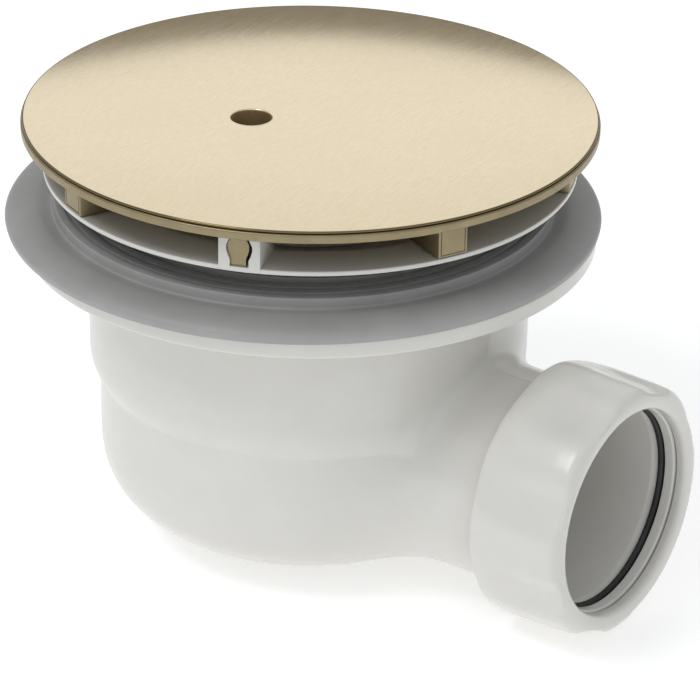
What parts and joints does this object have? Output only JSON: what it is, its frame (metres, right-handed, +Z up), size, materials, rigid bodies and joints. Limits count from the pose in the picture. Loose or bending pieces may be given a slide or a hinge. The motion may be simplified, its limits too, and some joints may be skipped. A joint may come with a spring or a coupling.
{
  "type": "shower floor drain",
  "caption": "Round brushed-brass cover on legs over a shower tray waste, with a rubber gasket, a bowl-shaped trap below and a horizontal compression outlet.",
  "frame": {"origin": "centre of the tray hole, in the plane where the lip of the top flange lies on the tray", "axes": "+Z up along the drain's main axis, +X along the outlet, away from the trap"},
  "size_m": [0.1385, 0.1192, 0.0917],
  "materials": {
    "brushed_brass": "straight-brushed satin",
    "brass_moulding": "moulded plastic with a satin brass coating",
    "white_pp": "satin white polypropylene",
    "grey_rubber": "matt",
    "black_rubber": "matt"
  },
  "bodies": {
    "trap": {"trap_body": "white_pp", "body_gasket": "grey_rubber"},
    "tray_seal": {"flange_seal": "black_rubber"},
    "flange": {"top_flange": "white_pp"},
    "cover": {"cover_plate": "brushed_brass", "cover_carrier": "brass_moulding"},
    "dip": {"dip_tube": "white_pp", "dip_tube_oring": "black_rubber"},
    "strainer": {"hair_strainer": "white_pp"},
    "cup": {"siphon_cup": "white_pp"},
    "pipe_rings": {"slip_washer": "white_pp", "outlet_seal": "black_rubber"},
    "nut": {"outlet_nut": "white_pp"}
  },
  "joints": [
    {"name": "flange_rise", "type": "slide", "parent": "trap", "child": "tray_seal", "axis": [0, 0, 1], "range_m": [0, 0.012]},
    {"name": "flange_turn", "type": "hinge", "parent": "tray_seal", "child": "flange", "pos_m": [0, 0, 0], "axis": [0, 0, 1], "range_deg": [0, 1080]},
    {"name": "cover_lift", "type": "slide", "parent": "flange", "child": "cover", "axis": [0, 0, 1], "range_m": [0, 0.16]},
    {"name": "dip_tube_lift", "type": "slide", "parent": "flange", "child": "dip", "axis": [0, 0, 1], "range_m": [0, 0.1155]},
    {"name": "strainer_lift", "type": "slide", "parent": "dip", "child": "strainer", "axis": [0, 0, 1], "range_m": [0, 0.0305]},
    {"name": "cup_lift", "type": "slide", "parent": "trap", "child": "cup", "axis": [0, 0, 1], "range_m": [0, 0.0785]},
    {"name": "nut_travel", "type": "slide", "parent": "trap", "child": "pipe_rings", "axis": [1, 0, 0], "range_m": [0, 0.0121]},
    {"name": "nut_turn", "type": "hinge", "parent": "pipe_rings", "child": "nut", "pos_m": [0.064, 0, -0.0533], "axis": [1, 0, 0], "range_deg": [0, 1440]}
  ],
  "couplings": [
    {"joint": "flange_rise", "follows": "flange_turn", "m_per_rad": 0.00063662},
    {"joint": "nut_travel", "follows": "nut_turn", "m_per_rad": 0.00047746},
    {"joint": "dip_tube_lift", "follows": "cover_lift", "ratio": 0.72},
    {"joint": "strainer_lift", "follows": "cover_lift", "ratio": 0.19},
    {"joint": "cup_lift", "follows": "cover_lift", "ratio": 0.49}
  ]
}
